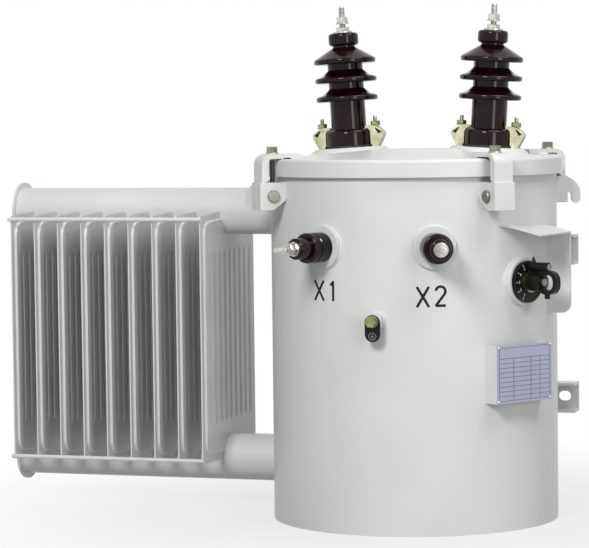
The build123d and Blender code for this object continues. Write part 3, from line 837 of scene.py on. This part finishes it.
# Radiator: nine panels of pressed sheet, seam-welded round their rims and saddled on two pipes.
# Each saddle is welded round the pipe on both faces, and the pipes are welded into the tank.
PANELS = 9
panels = [f"radiator_panel_{i + 1}" for i in range(PANELS)]
dress(enamel, *panels, "header_upper", "header_lower", "header_caps", "tie_bars")
PIPE_R = 44.5 * MM
SADDLE_IN = 3.8 * MM
SADDLE_STEPS = 48
SADDLE_BEAD = 1.6 * MM
HEADER_BEAD = 3 * MM
saddle_runs = []
wall_runs = []
cap_runs = []
for name, way in (("header_upper", -1), ("header_lower", 1)):
    low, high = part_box(name)
    centre = (low + high) / 2
    half = [way * math.pi * i / SADDLE_STEPS for i in range(SADDLE_STEPS + 1)]
    arc = [(centre.y + PIPE_R * math.cos(t), centre.z + PIPE_R * math.sin(t)) for t in half]
    for panel in panels:
        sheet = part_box(panel)
        for face in (sheet[0].x + SADDLE_IN, sheet[1].x - SADDLE_IN):
            saddle_runs.append([Vector((face, y, z)) for y, z in arc])
    whole = [math.pi * i / SADDLE_STEPS for i in range(2 * SADDLE_STEPS + 1)]
    ring = [(centre.y + PIPE_R * math.cos(t), centre.z + PIPE_R * math.sin(t)) for t in whole]
    wall_runs.append([Vector((-math.sqrt(TANK_R**2 - y * y), y, z)) for y, z in ring])
    cap_runs.append([Vector((low.x, y, z)) for y, z in ring])
weld("saddle_welds", saddle_runs, radius=SADDLE_BEAD)
weld("header_welds", wall_runs + cap_runs, radius=HEADER_BEAD)

# Studio: a pale paper floor that fades to the white of the background, and broad soft lamps.
# The key stands high in front, with weaker ones on the right, overhead and behind on the left.
# The last isn't mirrored, so that the glaze keeps its outline.
WHITE = {"Color": linear("#ffffff"), "Strength": 1.0}
FLOOR_HALF = 12


def seen_directly(tree):
    """An output that is 1 for rays from the camera, a mirror or glass, and 0 for light."""
    rays = add(tree, "ShaderNodeLightPath")
    mirror = add(tree, "ShaderNodeMath", {"operation": "MAXIMUM"})
    tree.links.new(rays.outputs["Is Glossy Ray"], mirror.inputs[0])
    tree.links.new(rays.outputs["Is Transmission Ray"], mirror.inputs[1])
    seen = add(tree, "ShaderNodeMath", {"operation": "MAXIMUM"})
    tree.links.new(rays.outputs["Is Camera Ray"], seen.inputs[0])
    tree.links.new(mirror.outputs[0], seen.inputs[1])
    return seen.outputs[0]


floor_mesh = bmesh.new()
bmesh.ops.create_grid(floor_mesh, x_segments=1, y_segments=1, size=FLOOR_HALF)
floor_data = bpy.data.meshes.new("floor")
floor_mesh.to_mesh(floor_data)
floor_mesh.free()
floor = bpy.data.objects.new("floor", floor_data)
bpy.context.scene.collection.objects.link(floor)
# Matt paper has no sheen. It takes a faint shadow near the tank and is pure white further off,
# from 0.3 to 1.1 m out.
FADE = {"From Min": 0.3, "From Max": 1.1, "To Min": 0.72}
paper = bpy.data.materials.new("studio_paper")
paper.use_nodes = True
tree = paper.node_tree
tree.nodes.clear()
spot = add(tree, "ShaderNodeTexCoord").outputs["Object"]
reach = add(tree, "ShaderNodeVectorMath", {"operation": "LENGTH"})
tree.links.new(spot, reach.inputs[0])
fade = add(tree, "ShaderNodeMapRange", FADE, {"Value": reach.outputs["Value"]})
seen = seen_directly(tree)
share = add(tree, "ShaderNodeMath", {"operation": "MULTIPLY"})
tree.links.new(seen, share.inputs[0])
tree.links.new(fade.outputs[0], share.inputs[1])
matt = add(tree, "ShaderNodeBsdfDiffuse", {"Color": linear("#b8b8b6")})
glow = add(tree, "ShaderNodeEmission", WHITE)
mix = add(tree, "ShaderNodeMixShader", (), {"Fac": share.outputs[0]})
tree.links.new(matt.outputs[0], mix.inputs[1])
tree.links.new(glow.outputs[0], mix.inputs[2])
add(tree, "ShaderNodeOutputMaterial", (), {"Surface": mix.outputs[0]})
floor_data.materials.append(paper)

ROOM = {"Color": linear("#eef1f4"), "Strength": 0.09}
scene = bpy.context.scene
scene.view_settings.view_transform = "Standard"
world = bpy.data.worlds.new("studio")
world.use_nodes = True
scene.world = world
tree = world.node_tree
tree.nodes.clear()
room = add(tree, "ShaderNodeBackground", ROOM)
white = add(tree, "ShaderNodeBackground", WHITE)
mix = add(tree, "ShaderNodeMixShader", (), {"Fac": seen_directly(tree)})
tree.links.new(room.outputs[0], mix.inputs[1])
tree.links.new(white.outputs[0], mix.inputs[2])
add(tree, "ShaderNodeOutputWorld", (), {"Surface": mix.outputs[0]})

# Each lamp's place, width and height in metres, its watts, and whether it is mirrored.
LAMPS = {
    "key_softbox": ((-0.5, -4.2, 3.0), 1.2, 1.2, 146, True),
    "side_softbox": ((2.2, -2.2, 1.0), 0.8, 1.6, 22, True),
    "top_softbox": ((1.3, -0.4, 2.8), 1.6, 1.6, 38, True),
    "rear_softbox": ((-2.4, 3.4, 1.8), 1.4, 1.4, 70, False),
}
MIDDLE = Vector((-0.15, 0, 0.45))
for name, (place, width, height, watts, mirrored) in LAMPS.items():
    box = bpy.data.lights.new(name, "AREA")
    box.shape = "RECTANGLE"
    box.size = width
    box.size_y = height
    box.energy = watts
    lamp = bpy.data.objects.new(name, box)
    lamp.matrix_world = along(place, Vector(place) - MIDDLE)
    lamp.visible_glossy = mirrored
    scene.collection.objects.link(lamp)

# Camera: where the photograph was taken from, about five metres off with a long lens.
# It stands a little to the right of the tank's front, above its middle, and leans slightly.
CAMERA = Vector((1.27876, -4.83573, 0.76840))
VIEW = Vector((-0.29784946, 0.95254067, -0.06286467))
ROLL = math.radians(-0.657)
SENSOR_W = 36
FOCAL_L = 164.34
FAR = 60
back = -VIEW.normalized()
level = Vector((0, 0, 1)).cross(back).normalized()
above = back.cross(level)
right = level * math.cos(ROLL) + above * math.sin(ROLL)
up = above * math.cos(ROLL) - level * math.sin(ROLL)
lens = bpy.data.cameras.new("camera")
lens.sensor_fit = "HORIZONTAL"
lens.sensor_width = SENSOR_W
lens.lens = FOCAL_L
lens.clip_end = FAR
camera = bpy.data.objects.new("camera", lens)
camera.matrix_world = Matrix.Translation(CAMERA) @ Matrix((right, up, back)).transposed().to_4x4()
scene.collection.objects.link(camera)
scene.camera = camera
